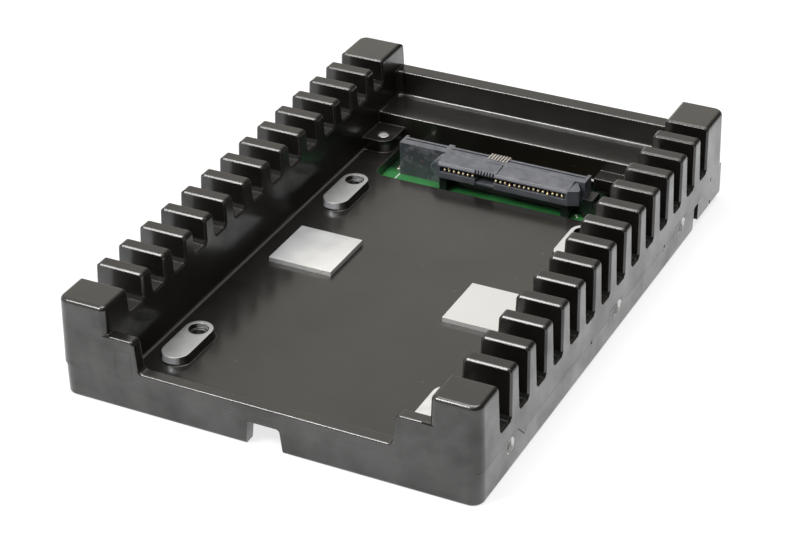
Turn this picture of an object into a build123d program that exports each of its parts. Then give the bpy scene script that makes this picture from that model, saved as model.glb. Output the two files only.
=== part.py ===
from build123d import *
import os
from math import radians, tan

# Drive bay adapter bracket: a finned die-cast frame that holds a 2.5 inch drive in a 3.5 inch bay.
# Millimetres. X runs across, Y to the connector end, Z up.
# The origin is the centre of the footprint, on the plane that the bracket rests on.

# Outer body
body_width = 101.6
body_length = 146.1
body_height = 24.8
body_corner_radius = 2.8
body_draft = 1.0
top_edge_radius = 1.1
bottom_edge_radius = 0.7

# Line where the two die halves meet, a small step all round
parting_step = 0.18
parting_front_height = 8.0
parting_side_front_height = 8.5
parting_side_height = 6.6
parting_jog_front = -53.9
parting_jog_low = -50.3
parting_jog_back = -48.4
parting_jog_height = 5.0

# Bay for the drive
floor_top = 5.8
floor_thickness = 2.4
bay_centre = 0.45
bay_half_width = 38.05
bay_draft = 2.24
foot_radius = 0.9
bay_corner_radius = 1.8
front_wall_thickness = 3.3
ledge_height = 18.1
sill_height = 10.5
sill_half_width = 30.7
sill_draft = 5.7
sill_corner_radius = 1.2
shelf_height = 12.2
shelf_front = 57.0
rear_wall_front = 68.3
rear_wall_height = 18.85
wall_edge_radius = 0.5
post_corner_radius = 1.5

# Cooling fins along both sides
fin_pitch = 9.07
fin_count = 13
slot_width = 5.57
slot_draft = 2.3
first_fin_front = -56.85
front_post_back = -63.25
rear_post_front = 60.75
slot_inner_floor = 18.45
slot_outer_floor = 12.9
slot_slope_inner = 43.5
slot_slope_outer = 46.4
slot_corner_chamfer = 0.7
fin_edge_chamfer = 0.4

# Raised bosses that the drive stands on, with a hole for a screw from below
drive_hole_spacing_x = 61.72
drive_hole_spacing_y = 76.6
drive_hole_rear = 28.75
oval_width = 6.7
oval_length = 16.3
oval_height = 2.0
oval_draft = 14.0
drive_hole_radius = 1.75
drive_recess_radius = 2.35
drive_recess_depth = 1.2

# Tapped holes for the computer's own screws, size 6-32
tapped_radius = 1.45
tapped_mouth_depth = 0.5
side_hole_height = 6.35
side_hole_depth = 6.5
side_hole_rear = 44.15
side_hole_middle = 2.54
side_hole_front = -57.45
bottom_hole_spacing_x = 95.25
bottom_hole_depth = 9.0
bottom_hole_rear = 31.37
bottom_hole_middle = -13.08
bottom_hole_front = -44.83

# Hollow underside
underside_half_width = 37.6
underside_rear = 68.4
rail_core_inner = 40.9
rail_core_step_inner = 42.9
rail_core_step_outer = 45.5
rail_core_outer = 48.4
rail_core_tall = 15.6
rail_core_low = 10.4
rail_rib_half_width = 4.6
under_shelf_front = 59.5
under_shelf_top = 9.8
notch_top = 6.0
notch_half_top = 3.85
notch_half_bottom = 4.6
notch_corner_radius = 0.9

# Window in the floor for the connector board
window_half_width = 29.8
window_front = 36.85
window_corner_radius = 3.0

# Bosses at the rear of the bay for the board's screws
boss_top = 9.1
boss_inner = 30.65
boss_front = 47.55
boss_corner_radius = 3.0
boss_screw_x = 33.95
left_screw_y = 51.2
right_boss_front = 44.5
right_screw_y = 48.25
shelf_screw_x = -20.0
shelf_screw_y = 64.0
roof_left = 24.3
roof_front = 52.35

# Connector board
board_top = 3.0
board_thickness = 1.6
board_half_width = 37.2
board_front = 34.4
board_back = 67.6
board_tab_right = 42.6
board_tab_front = 56.6
board_corner_radius = 1.0
standoff_radius = 3.4
underside_clearance = 0.1

# Screws that hold the board, size M3
screw_radius = 1.5
screw_hole_radius = 1.55
screw_length = 7.6
screw_head_radius = 2.75
screw_head_height = 1.1
screw_head_bevel = 0.35
screw_socket_radius = 1.1
screw_socket_depth = 0.7
screw_tip_chamfer = 0.3
screw_tip_room = 0.6
board_hole_radius = 1.7

# Receptacle that the drive plugs into, with 7 signal and 15 power contacts
receptacle_centre = 5.2
contact_pitch = 1.27
signal_count = 7
power_count = 15
segment_gap = 6.35
plate_left = -25.4
plate_right = 25.2
plate_front = 44.25
plate_back = 48.45
plate_top = 12.1
plate_groove_front = 46.25
plate_groove_back = 46.95
plate_rim_back = 47.55
plate_groove_depth = 0.6
plate_end_wall = 0.8
plate_rib_left = -13.3
plate_rib_right = -11.7
shroud_left = -12.55
shroud_right = 22.5
shroud_front = 39.55
shroud_top = 11.4
shroud_bottom = 7.35
shroud_front_top = 10.8
shroud_chamfer = 0.4
slot_bottom = 9.0
slot_top = 10.5
slot_depth = 4.0
slot_left = -12.0
slot_right = 21.9
key_left = -2.45
key_right = 2.65
key_floor = 7.95
key_setback = 0.5
key_line_x = 3.15
key_line_width = 0.3
wing_reach = 2.6
wing_lead = 1.2
wing_thickness = 0.9
foot_setback = 0.8
receptacle_feet = ((-12.5, -10.6), (20.5, 22.5))
end_block_right = 27.85
end_block_front = 43.05
end_block_top = 8.2
end_block_setback = 0.8
contact_width = 0.5
contact_thickness = 0.45
contact_height = 9.75
contact_tip_back = 0.3
contact_tip_length = 0.5
contact_tip_drop = 0.1
contact_leg_gap = 0.15
contact_leg = 0.3
contact_foot_length = 1.1
contact_foot_thickness = 0.3
contact_hole_clearance = 0.06
long_contacts = (3, 11)
long_contact_drop = 0.35
long_contact_reach = 0.25
second_port_count = 7
second_port_pitch = 0.8
second_port_tail_centre = 1.65
second_port_slot_centre = 0.15
second_port_slot_depth = 0.7
second_port_width = 0.42
second_port_tail_front = 45.35
second_port_thickness = 0.25
second_port_leg_gap = 1.8

# Plug at the rear, in the place where a 3.5 inch drive has its own
plug_centre = 20.68
plug_half_width = 21.2
plug_front = 64.2
plug_body_back = 67.4
plug_top = 8.7
tongue_bottom = 4.2
tongue_thickness = 1.25
tongue_back = 72.0
tongue_half_width = 16.9
tongue_chamfer = 0.35
tongue_key_width = 1.1
tongue_key_bottom = 3.4
plug_arm_width = 1.6
plug_contact_width = 0.85
plug_contact_thickness = 0.2
plug_contact_end = 71.4
lock_width = 2.0
lock_thickness = 0.4
lock_height = 2.6
lock_foot = 1.6
lock_gap = 0.1

# Carrier that closes the corner beside the plug
carrier_left = -3.0
carrier_outer = 50.5
carrier_front = 56.2
carrier_step_1 = 61.7
carrier_step_2 = 62.7
carrier_step_3 = 64.1
carrier_back = 72.4
carrier_bottom = 1.6
carrier_low_top = 6.7
carrier_mid_top = 7.7
carrier_top = 9.8
carrier_clearance = 0.2
carrier_gap_front = 53.1
carrier_foot_inner = 42.8
carrier_wall = 1.5
carrier_lug_left = 24.3
carrier_notch_front = 64.4
carrier_notch_back = 65.1
carrier_notch_low = 2.9
carrier_notch_high = 8.1
carrier_notch_depth = 1.0
carrier_edge_radius = 0.3

# Heat pads stuck on the floor
pad_thickness = 1.2
pad_width = 16.5
pad_length = 16.5
pad_centre_x = 24.3
left_pad_centre_y = -4.1
right_pad_centre_y = -10.75

half_width = body_width / 2
half_length = body_length / 2
bay_left = bay_centre - bay_half_width
bay_right = bay_centre + bay_half_width
front_inner = front_wall_thickness - half_length
floor_bottom = floor_top - floor_thickness
board_bottom = board_top - board_thickness
beyond = 20.0
side_hole_rows = (side_hole_rear, side_hole_middle, side_hole_front)
bottom_hole_rows = (bottom_hole_rear, bottom_hole_middle, bottom_hole_front)


def tan_degrees(angle):
    """Tangent of an angle in degrees."""
    return tan(radians(angle))


def drive_hole_places():
    """The four screw holes under the drive."""
    half = drive_hole_spacing_x / 2
    rows = (drive_hole_rear, drive_hole_rear - drive_hole_spacing_y)
    return [(bay_centre + side * half, y) for side in (-1, 1) for y in rows]


def screw_places():
    """The screws that hold the board to the frame."""
    left = (bay_centre - boss_screw_x, left_screw_y)
    right = (bay_centre + boss_screw_x, right_screw_y)
    return [left, right, (shelf_screw_x, shelf_screw_y)]


def row(first, count, pitch):
    """Places at an even pitch."""
    return [first + i * pitch for i in range(count)]


def signal_row(centre):
    """Signal contacts of a connector whose 22 contacts are centred here."""
    span = (signal_count - 1 + power_count - 1) * contact_pitch + segment_gap
    return row(centre - span / 2, signal_count, contact_pitch)


def power_row(centre):
    """Power contacts of the same connector."""
    last_signal = signal_row(centre)[-1]
    return row(last_signal + segment_gap, power_count, contact_pitch)


def box_between(x, y, z, mode=Mode.ADD):
    """A block between the given limits, added to or taken from the part being built."""
    with Locations(((x[0] + x[1]) / 2, (y[0] + y[1]) / 2, (z[0] + z[1]) / 2)):
        Box(x[1] - x[0], y[1] - y[0], z[1] - z[0], mode=mode)


def upright(edge):
    """Whether an edge stands up, give or take the draft."""
    return abs(edge.tangent_at(0.5).Z) > 0.9


def slot_centres():
    """Centre and width of every slot along one side, front to rear."""
    first_back = first_fin_front + fin_pitch - slot_width
    last_back = first_back + (fin_count - 1) * fin_pitch
    centres = [((front_post_back + first_fin_front) / 2, first_fin_front - front_post_back)]
    for i in range(fin_count - 1):
        centres.append((first_back + slot_width / 2 + i * fin_pitch, slot_width))
    centres.append(((last_back + rear_post_front) / 2, rear_post_front - last_back))
    return centres


def is_slot_rim(edge):
    """Whether an edge bounds a slot where it meets the top, the bay or the outer face."""
    c = edge.center()
    on_bay_side = abs(c.X - bay_centre) < bay_half_width + 1.0
    on_outside = abs(c.X) > half_width - 1.0
    on_top = c.Z > body_height - 0.9
    in_reach = front_post_back - 0.1 < c.Y < rear_post_front + 0.1
    slot_floor = slot_outer_floor if on_outside else slot_inner_floor
    return in_reach and c.Z > slot_floor - 0.1 and (on_bay_side or on_outside or on_top)


def is_post_corner(edge):
    """Whether an edge is the inner front corner of a front post."""
    c = edge.center()
    beside_bay = abs(c.X - bay_centre) < bay_half_width + 1
    return upright(edge) and c.Y < front_inner - 1 and c.Z > ledge_height and beside_bay


def is_opening_corner(edge):
    """Whether an edge is the top corner of a ledge beside the front opening."""
    c = edge.center()
    at_ledge = abs(c.Z - ledge_height) < 0.1 and abs(c.X) < sill_half_width + 2
    return at_ledge and c.Y < front_inner and abs(edge.tangent_at(0.5).Y) > 0.9


def is_front_outline(edge):
    """Whether an edge runs along the ledges and the sill, on the outer or inner face of the front wall."""
    c = edge.center()
    outer = c.Y < front_inner - front_wall_thickness + 0.5
    inner = abs(c.Y - front_inner) < 0.05
    between_posts = abs(c.X) < bay_half_width - bay_corner_radius
    return (outer or inner) and between_posts and sill_height - 0.1 < c.Z < ledge_height + 0.1


def is_rear_wall_edge(edge):
    """Whether an edge runs along the top of the rear wall."""
    c = edge.center()
    on_rear_wall = c.Y > rear_wall_front - 0.5 and abs(c.Z - rear_wall_height) < 0.1
    return on_rear_wall and abs(edge.tangent_at(0.5).X) > 0.9


def is_shelf_edge(edge):
    """Whether an edge is the front of the shelf below the rear wall."""
    c = edge.center()
    on_shelf = abs(c.Y - shelf_front) < 0.1 and abs(c.Z - shelf_height) < 0.1
    return on_shelf and abs(edge.tangent_at(0.5).X) > 0.9


def second_port_row(centre):
    """Contacts of the second port, at their finer pitch."""
    span = (second_port_count - 1) * second_port_pitch
    return row(centre - span / 2, second_port_count, second_port_pitch)


def make_slot_cutter(width):
    """The space of one slot between two fins, on the right side, centred at y = 0."""
    with BuildPart() as cutter:
        with BuildSketch(Plane.XZ):
            Polygon(
                (bay_half_width - 2, slot_inner_floor),
                (slot_slope_inner, slot_inner_floor),
                (slot_slope_outer, slot_outer_floor),
                (half_width + 2, slot_outer_floor),
                (half_width + 2, body_height + 1),
                (bay_half_width - 2, body_height + 1),
                align=None,
            )
        extrude(amount=width, both=True)
        slope = tan_degrees(slot_draft)
        low = width / 2 - (body_height - slot_outer_floor + 1) * slope
        high = width / 2 + slope
        with BuildSketch(Plane.YZ):
            Polygon(
                (-low, slot_outer_floor - 1),
                (low, slot_outer_floor - 1),
                (high, body_height + 1),
                (-high, body_height + 1),
                align=None,
            )
        extrude(amount=half_width + beyond, mode=Mode.INTERSECT)
        floor_edges = cutter.edges().filter_by(
            lambda e: e.center().Z < slot_inner_floor + 0.1 and abs(e.tangent_at(0.5).Y) < 0.3
        )
        chamfer(floor_edges, slot_corner_chamfer)
    return cutter.part


os.makedirs("parts", exist_ok=True)

# The space of the drive bay: a drafted trough cut to the side profile of floor, walls and shelf
with BuildPart() as bay_space:
    spread = (body_height + 1 - floor_top) * tan_degrees(bay_draft)
    with BuildSketch(Plane.XZ):
        Polygon(
            (bay_left, floor_top),
            (bay_right, floor_top),
            (bay_right + spread, body_height + 1),
            (bay_left - spread, body_height + 1),
            align=None,
        )
    extrude(amount=half_length + beyond, both=True)
    with BuildSketch(Plane.YZ):
        Polygon(
            (-half_length - 1, ledge_height),
            (front_inner, ledge_height),
            (front_inner, floor_top),
            (shelf_front, floor_top),
            (shelf_front, shelf_height),
            (rear_wall_front, shelf_height),
            (rear_wall_front, rear_wall_height),
            (half_length + 1, rear_wall_height),
            (half_length + 1, body_height + 1),
            (-half_length - 1, body_height + 1),
            align=None,
        )
    extrude(amount=half_width, both=True, mode=Mode.INTERSECT)
    corners = bay_space.edges().filter_by(upright).filter_by(
        lambda e: abs(e.center().Y) < rear_wall_front + 1 and abs(e.center().Y - shelf_front) > 1
    )
    fillet(corners, bay_corner_radius)
    foot = bay_space.edges().filter_by(lambda e: e.center().Z < floor_top + 0.01)
    fillet(foot, foot_radius)
    shelf_foot = bay_space.edges().filter_by(
        lambda e: abs(e.center().Z - shelf_height) < 0.01 and e.center().Y > shelf_front + 1
    )
    fillet(shelf_foot, foot_radius)
    # The wide opening in the front wall
    sill_spread = (ledge_height + 1 - sill_height) * tan_degrees(sill_draft)
    with BuildSketch(Plane.XZ.offset(-front_inner - 1)) as sill_opening:
        Polygon(
            (-sill_half_width, sill_height),
            (sill_half_width, sill_height),
            (sill_half_width + sill_spread, ledge_height + 1),
            (-sill_half_width - sill_spread, ledge_height + 1),
            align=None,
        )
        fillet(sill_opening.vertices().group_by(Axis.Y)[0], sill_corner_radius)
    extrude(amount=front_wall_thickness + 3)


# The frame, cast in one piece
with BuildPart() as frame_casting:
    upper_start = parting_jog_height - 0.5
    upper_growth = 2 * (parting_jog_height - upper_start) * tan_degrees(body_draft)
    with BuildSketch(Plane.XY.offset(upper_start)):
        RectangleRounded(body_width + upper_growth, body_length + upper_growth, body_corner_radius)
    extrude(amount=body_height - upper_start, taper=body_draft)
    # The lower die half is a little smaller, below a parting line with a jog on each side
    with BuildSketch(Plane.YZ):
        Polygon(
            (-half_length - 1, -1),
            (half_length + 1, -1),
            (half_length + 1, parting_side_height),
            (parting_jog_back, parting_side_height),
            (parting_jog_low, parting_jog_height),
            (parting_jog_front, parting_side_front_height),
            (2 - half_length, parting_side_front_height),
            (-half_length, parting_front_height),
            (-half_length - 1, parting_front_height),
            align=None,
        )
    extrude(amount=half_width + 1, both=True, mode=Mode.SUBTRACT)
    lower_inset = 2 * (parting_step + parting_side_front_height * tan_degrees(body_draft))
    with BuildSketch(Plane.XY):
        RectangleRounded(body_width - lower_inset, body_length - lower_inset, body_corner_radius)
    extrude(amount=parting_side_front_height, taper=-body_draft)
    fillet(frame_casting.edges().group_by(Axis.Z)[0], bottom_edge_radius)

    # Bay, with the posts and rails rounded along the top
    add(bay_space.part, mode=Mode.SUBTRACT)
    fillet(frame_casting.edges().filter_by(is_post_corner), post_corner_radius)
    fillet(frame_casting.edges().filter_by(lambda e: e.center().Z > body_height - 0.01), top_edge_radius)
    fillet(frame_casting.edges().filter_by(is_opening_corner), sill_corner_radius)
    fillet(frame_casting.edges().filter_by(is_front_outline), wall_edge_radius)
    fillet(frame_casting.edges().filter_by(is_rear_wall_edge), wall_edge_radius)
    fillet(frame_casting.edges().filter_by(is_shelf_edge), wall_edge_radius)

    # Slots between the fins, with rounded rims
    for centre, width in slot_centres():
        cutter = make_slot_cutter(width)
        with Locations((0, centre, 0)):
            add(cutter, mode=Mode.SUBTRACT)
            add(mirror(cutter, Plane.YZ, mode=Mode.PRIVATE), mode=Mode.SUBTRACT)
    chamfer(frame_casting.edges().filter_by(is_slot_rim), fin_edge_chamfer)

    # Oval bosses that the drive stands on
    with BuildSketch(Plane.XY.offset(floor_top)):
        draft_growth = 2 * oval_height * tan_degrees(oval_draft)
        oval_shift = (oval_length - oval_width) / 2
        with Locations([(x, y - oval_shift) for x, y in drive_hole_places()]):
            SlotOverall(oval_length + draft_growth, oval_width + draft_growth, rotation=90)
    extrude(amount=oval_height, taper=oval_draft)

    # Window in the floor for the connector board
    with BuildSketch(Plane.XY.offset(-1)) as window_outline:
        window_length = under_shelf_front - window_front
        with Locations((bay_centre, window_front + window_length / 2)):
            Rectangle(2 * window_half_width, window_length)
        fillet(window_outline.vertices().group_by(Axis.Y)[0], window_corner_radius)
    extrude(amount=1 + floor_top, mode=Mode.SUBTRACT)

    # Bosses for the board's screws in the rear corners, and the roof over the carrier
    boss_outer = bay_half_width + 0.5
    boss_back = shelf_front + 0.5
    for side, front in ((-1, boss_front), (1, right_boss_front)):
        with BuildSketch(Plane.XY.offset(floor_bottom)) as boss_outline:
            with Locations((bay_centre + side * (boss_inner + boss_outer) / 2, (front + boss_back) / 2)):
                Rectangle(boss_outer - boss_inner, boss_back - front)
            free_corner = boss_outline.vertices().sort_by(Axis.Y)[:2].sort_by(lambda v: abs(v.X))[0]
            fillet(free_corner, boss_corner_radius)
        extrude(amount=boss_top - floor_bottom)
    box_between((roof_left, bay_centre + boss_inner + 1), (roof_front, boss_back), (floor_top, boss_top))

    # Hollow underside, cored rails and the space under the shelf
    hollow_x = (-underside_half_width, underside_half_width)
    box_between(hollow_x, (front_inner, underside_rear), (-1, floor_bottom), Mode.SUBTRACT)
    shelf_space_x = (-underside_half_width, carrier_left)
    box_between(shelf_space_x, (under_shelf_front, underside_rear), (-1, under_shelf_top), Mode.SUBTRACT)
    for side in (-1, 1):
        for front, back in (
            (bottom_hole_front, bottom_hole_middle),
            (bottom_hole_middle, side_hole_middle),
            (side_hole_middle, bottom_hole_rear),
        ):
            with BuildSketch(Plane.XZ.offset(-front - rail_rib_half_width)):
                Polygon(
                    (side * rail_core_inner, -1),
                    (side * rail_core_inner, rail_core_tall),
                    (side * rail_core_step_inner, rail_core_tall),
                    (side * rail_core_step_outer, rail_core_low),
                    (side * rail_core_outer, rail_core_low),
                    (side * rail_core_outer, -1),
                    align=None,
                )
            extrude(amount=-(back - front - 2 * rail_rib_half_width), mode=Mode.SUBTRACT)

    # Notch through the front edge
    with BuildSketch(Plane.XZ.offset(-front_inner - 1)) as notch_outline:
        Polygon(
            (-notch_half_bottom, -1),
            (notch_half_bottom, -1),
            (notch_half_top, notch_top),
            (-notch_half_top, notch_top),
            align=None,
        )
        fillet(notch_outline.vertices().group_by(Axis.Y)[-1], notch_corner_radius)
    extrude(amount=front_wall_thickness + 3, mode=Mode.SUBTRACT)

    # Standoffs for the board, and the boss for its screw under the shelf
    for x, y in screw_places():
        with BuildSketch(Plane.XY.offset(board_top)):
            with Locations((x, y)):
                Circle(standoff_radius)
        extrude(amount=(under_shelf_top if y > under_shelf_front else floor_bottom) - board_top + 0.1)

    # Room for the carrier and the plug, open to the rear and to the right
    room_x = (carrier_left - carrier_clearance, half_width + 1)
    room_top = carrier_top + carrier_clearance
    box_between(room_x, (carrier_step_3 - carrier_clearance, half_length + 1), (-1, room_top), Mode.SUBTRACT)
    mid_top = carrier_mid_top + carrier_clearance
    box_between(room_x, (carrier_step_1 - carrier_clearance, half_length), (-1, mid_top), Mode.SUBTRACT)
    low_top = carrier_low_top + carrier_clearance
    box_between((roof_left, half_width + 1), (carrier_gap_front, half_length), (-1, low_top), Mode.SUBTRACT)

    # Screw holes of the drive and of the board
    with Locations([(x, y, floor_bottom) for x, y in drive_hole_places()]):
        Cylinder(drive_hole_radius, beyond, mode=Mode.SUBTRACT)
    oval_top = floor_top + oval_height
    with Locations([(x, y, oval_top) for x, y in drive_hole_places()]):
        Cylinder(drive_recess_radius, 2 * drive_recess_depth, mode=Mode.SUBTRACT)
    screw_top = board_bottom + screw_length
    with Locations([(x, y, board_top) for x, y in screw_places()]):
        hole_length = screw_top + screw_tip_room - board_top
        Cylinder(screw_hole_radius, 2 * hole_length, mode=Mode.SUBTRACT)

    # Tapped holes in both sides and in the bottom, with bright countersunk mouths
    for side in (-1, 1):
        side_origin = (side * half_width, 0, side_hole_height)
        side_plane = Plane(origin=side_origin, x_dir=(0, 1, 0), z_dir=(side, 0, 0))
        with BuildSketch(side_plane.offset(-side_hole_depth)):
            with Locations([(y, 0) for y in side_hole_rows]):
                Circle(tapped_radius)
        extrude(amount=side_hole_depth + 1, mode=Mode.SUBTRACT)
        with BuildSketch(side_plane.offset(-parting_step - tapped_mouth_depth)):
            with Locations([(y, 0) for y in side_hole_rows]):
                Circle(tapped_radius)
        extrude(amount=tapped_mouth_depth + 0.5, taper=-45, mode=Mode.SUBTRACT)
    bottom_x = bottom_hole_spacing_x / 2
    with BuildSketch(Plane.XY):
        with Locations([(side * bottom_x, y) for side in (-1, 1) for y in bottom_hole_rows]):
            Circle(tapped_radius)
    extrude(amount=bottom_hole_depth, mode=Mode.SUBTRACT)
frame_casting.part.label = "frame_casting"
export_step(frame_casting.part, "parts/frame_casting.step")


# Board under the floor that joins the two connectors
with BuildPart() as adapter_board:
    with BuildSketch(Plane.XY.offset(board_bottom)) as board_outline:
        with Locations((0, (board_front + board_back) / 2)):
            Rectangle(2 * board_half_width, board_back - board_front)
        with Locations(((board_tab_right + board_half_width) / 2, (board_tab_front + board_back) / 2)):
            Rectangle(board_tab_right - board_half_width, board_back - board_tab_front)
        fillet(board_outline.vertices(), board_corner_radius)
        with Locations(screw_places()):
            Circle(board_hole_radius, mode=Mode.SUBTRACT)
    extrude(amount=board_thickness)
adapter_board.part.label = "adapter_board"
export_step(adapter_board.part, "parts/adapter_board.step")


# Pan head screws that clamp the board to the frame from below
with BuildPart() as board_screws:
    with Locations([(x, y, board_bottom) for x, y in screw_places()]):
        Cylinder(screw_radius, screw_length, align=(Align.CENTER, Align.CENTER, Align.MIN))
        Cylinder(screw_head_radius, screw_head_height, align=(Align.CENTER, Align.CENTER, Align.MAX))
    tips = board_screws.edges().filter_by(GeomType.CIRCLE).group_by(Axis.Z)[-1]
    chamfer(tips, screw_tip_chamfer)
    head_rims = board_screws.edges().filter_by(GeomType.CIRCLE).group_by(Axis.Z)[0]
    chamfer(head_rims, screw_head_bevel)
    with BuildSketch(Plane.XY.offset(board_bottom - screw_head_height)):
        with Locations(screw_places()):
            RegularPolygon(screw_socket_radius, 6)
    extrude(amount=screw_socket_depth, mode=Mode.SUBTRACT)
board_screws.part.label = "board_screws"
export_step(board_screws.part, "parts/board_screws.step")


# Housing of the receptacle: a back plate, a shroud with the contact slot, and wings at its ends
with BuildPart() as receptacle_housing:
    box_between((plate_left, plate_right), (plate_front, plate_back), (board_top, plate_top))
    with BuildSketch(Plane.YZ.offset(shroud_left)):
        Polygon(
            (plate_front + 0.1, shroud_bottom),
            (shroud_front, shroud_bottom),
            (shroud_front, shroud_front_top),
            (shroud_front + shroud_chamfer, shroud_top),
            (plate_front + 0.1, plate_top - 0.2),
            align=None,
        )
    extrude(amount=shroud_right - shroud_left)
    # Slot for the drive's tongue, stepped down at the key between signal and power
    slot_y = (shroud_front - 1, shroud_front + slot_depth)
    box_between((slot_left, slot_right), slot_y, (slot_bottom, slot_top), Mode.SUBTRACT)
    box_between((key_left, key_right), slot_y, (key_floor, slot_top), Mode.SUBTRACT)
    key_y = (shroud_front - 1, shroud_front + key_setback)
    box_between((key_left, key_right), key_y, (0, slot_top), Mode.SUBTRACT)
    # Groove along the top of the plate, crossed by pairs of short ribs
    groove_z = (plate_top - plate_groove_depth, plate_top + 1)
    end_wall = plate_right - plate_end_wall
    for x0, x1 in ((plate_left + plate_end_wall, plate_rib_left), (plate_rib_right, end_wall)):
        box_between((x0, x1), (plate_groove_front, plate_groove_back), groove_z, Mode.SUBTRACT)
        box_between((x0, x1), (plate_rim_back, plate_back + 1), groove_z, Mode.SUBTRACT)
    # Fine line in the top of the shroud, and slots for the second port's contacts
    line_x = (key_line_x, key_line_x + key_line_width)
    box_between(line_x, (shroud_front - 1, plate_front), (shroud_top - 0.15, plate_top + 1), Mode.SUBTRACT)
    for x in second_port_row(second_port_slot_centre):
        x_range = (x - second_port_width / 2, x + second_port_width / 2)
        y_range = (shroud_front - 1, shroud_front + second_port_slot_depth)
        box_between(x_range, y_range, (slot_top - 0.1, plate_top), Mode.SUBTRACT)
    # Wings that guide the drive's connector in from both ends
    for end, outward in ((shroud_left, -1), (shroud_right, 1)):
        with BuildSketch(Plane.XY.offset(shroud_bottom)):
            Polygon(
                (end, shroud_front),
                (end + outward * wing_reach, shroud_front + wing_lead),
                (end + outward * wing_reach, shroud_front + wing_lead + wing_thickness),
                (end + outward * wing_thickness, plate_front + 0.1),
                (end - outward * 0.1, plate_front + 0.1),
                (end - outward * 0.1, shroud_front),
                align=None,
            )
        extrude(amount=shroud_top - shroud_bottom)
    # Feet that stand on the board, in front of the plate
    foot_y = (shroud_front + foot_setback, plate_front + 0.1)
    for x0, x1 in receptacle_feet:
        box_between((x0, x1), foot_y, (board_top, shroud_bottom + 0.1))
    # Right end block that carries the board lock
    block_x = (plate_right - 0.1, end_block_right)
    box_between(block_x, (end_block_front, plate_back - end_block_setback), (board_top, end_block_top))
    # Holes for the contacts, from the slot back through the plate
    hole_half_x = contact_width / 2 + contact_hole_clearance
    hole_half_z = contact_thickness / 2 + contact_hole_clearance
    hole_y = (shroud_front + slot_depth - 0.1, plate_back + 1)
    for x in signal_row(receptacle_centre) + power_row(receptacle_centre):
        x_range = (x - hole_half_x, x + hole_half_x)
        z_range = (contact_height - hole_half_z, contact_height + hole_half_z)
        box_between(x_range, hole_y, z_range, Mode.SUBTRACT)
receptacle_housing.part.label = "receptacle_housing"
export_step(receptacle_housing.part, "parts/receptacle_housing.step")


def make_receptacle_contact(x, tip, drop):
    """One contact: a spring beam in the slot, a stem through the plate and a foot on the board."""
    half = contact_width / 2
    low = contact_height - contact_thickness / 2
    high = contact_height + contact_thickness / 2
    leg = plate_back + contact_leg_gap
    with BuildPart() as contact:
        box_between((x - half, x + half), (tip, leg + contact_leg), (low, high))
        box_between((x - half, x + half), (leg, leg + contact_leg), (board_top, high))
        foot_y = (leg, leg + contact_leg + contact_foot_length)
        box_between((x - half, x + half), foot_y, (board_top, board_top + contact_foot_thickness))
        box_between((x - half, x + half), (tip, tip + contact_tip_length), (low - drop, low + 0.1))
    return contact.part


signal_places = signal_row(receptacle_centre)
power_places = power_row(receptacle_centre)
contact_tip = shroud_front + contact_tip_back

with BuildPart() as receptacle_signal_contacts:
    for place in signal_places:
        add(make_receptacle_contact(place, contact_tip, contact_tip_drop))
receptacle_signal_contacts.part.label = "receptacle_signal_contacts"
export_step(receptacle_signal_contacts.part, "parts/receptacle_signal_contacts.step")

with BuildPart() as receptacle_power_contacts:
    for number, place in enumerate(power_places):
        if number in long_contacts:
            add(make_receptacle_contact(place, contact_tip - long_contact_reach, long_contact_drop))
        else:
            add(make_receptacle_contact(place, contact_tip, contact_tip_drop))
receptacle_power_contacts.part.label = "receptacle_power_contacts"
export_step(receptacle_power_contacts.part, "parts/receptacle_power_contacts.step")

# Contacts of the second port, whose tails cross the top of the plate
with BuildPart() as receptacle_second_port_contacts:
    tail_leg = plate_back + second_port_leg_gap
    for place in second_port_row(second_port_tail_centre):
        tail_x = (place - second_port_width / 2, place + second_port_width / 2)
        bar_z = (plate_top + 0.02, plate_top + 0.02 + second_port_thickness)
        box_between(tail_x, (second_port_tail_front, tail_leg + contact_leg), bar_z)
        leg_z = (board_top, bar_z[1])
        box_between(tail_x, (tail_leg, tail_leg + contact_leg), leg_z)
receptacle_second_port_contacts.part.label = "receptacle_second_port_contacts"
export_step(receptacle_second_port_contacts.part, "parts/receptacle_second_port_contacts.step")

# Metal locks that hold the ends of the receptacle to the board
with BuildPart() as receptacle_board_locks:
    for edge, outward, middle in ((plate_left, -1, plate_back - 1.6), (end_block_right, 1, plate_back - 2.4)):
        lock_y = (middle - lock_width / 2, middle + lock_width / 2)
        upright_x = sorted((edge + outward * lock_gap, edge + outward * (lock_gap + lock_thickness)))
        foot_x = sorted((edge + outward * lock_gap, edge + outward * (lock_gap + lock_foot)))
        box_between(upright_x, lock_y, (board_top, board_top + lock_height))
        box_between(foot_x, lock_y, (board_top, board_top + lock_thickness))
receptacle_board_locks.part.label = "receptacle_board_locks"
export_step(receptacle_board_locks.part, "parts/receptacle_board_locks.step")


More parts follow.
